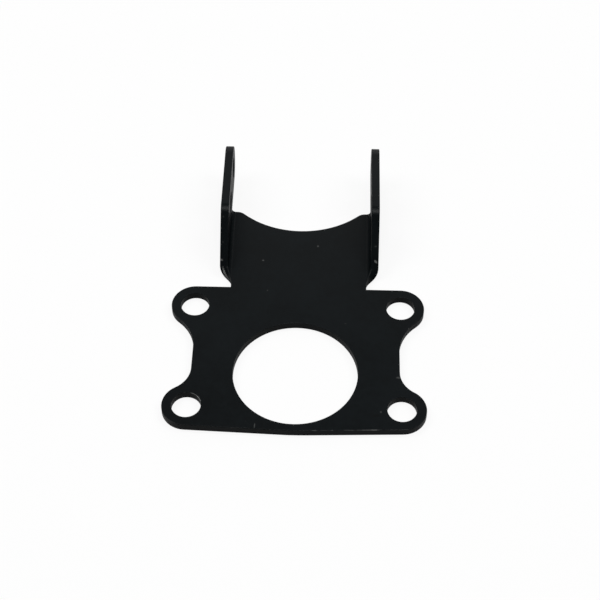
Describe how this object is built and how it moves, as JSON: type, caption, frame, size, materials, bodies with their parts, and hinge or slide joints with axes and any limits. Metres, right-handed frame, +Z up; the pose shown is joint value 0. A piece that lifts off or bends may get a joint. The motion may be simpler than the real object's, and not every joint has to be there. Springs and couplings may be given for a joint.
{
  "type": "headlight bracket",
  "caption": "Folded sheet-steel headlight bracket: a waisted plate with a large bore and corner bolt holes, and a web whose upturned arms reach back and carry bolt holes.",
  "frame": {"origin": "on the axis of the large bore, at the underside of the flat plate", "axes": "+Z points up from the plate along the bore axis, to the side that the arms are folded to; +Y points back along the arms; +X points right. The bracket is a mirror image of itself across the plane X = 0."},
  "size_m": [0.0922, 0.1241, 0.02],
  "materials": {
    "black_coating": "satin"
  },
  "bodies": {
    "root": {"headlight_bracket": "black_coating"}
  },
  "joints": []
}
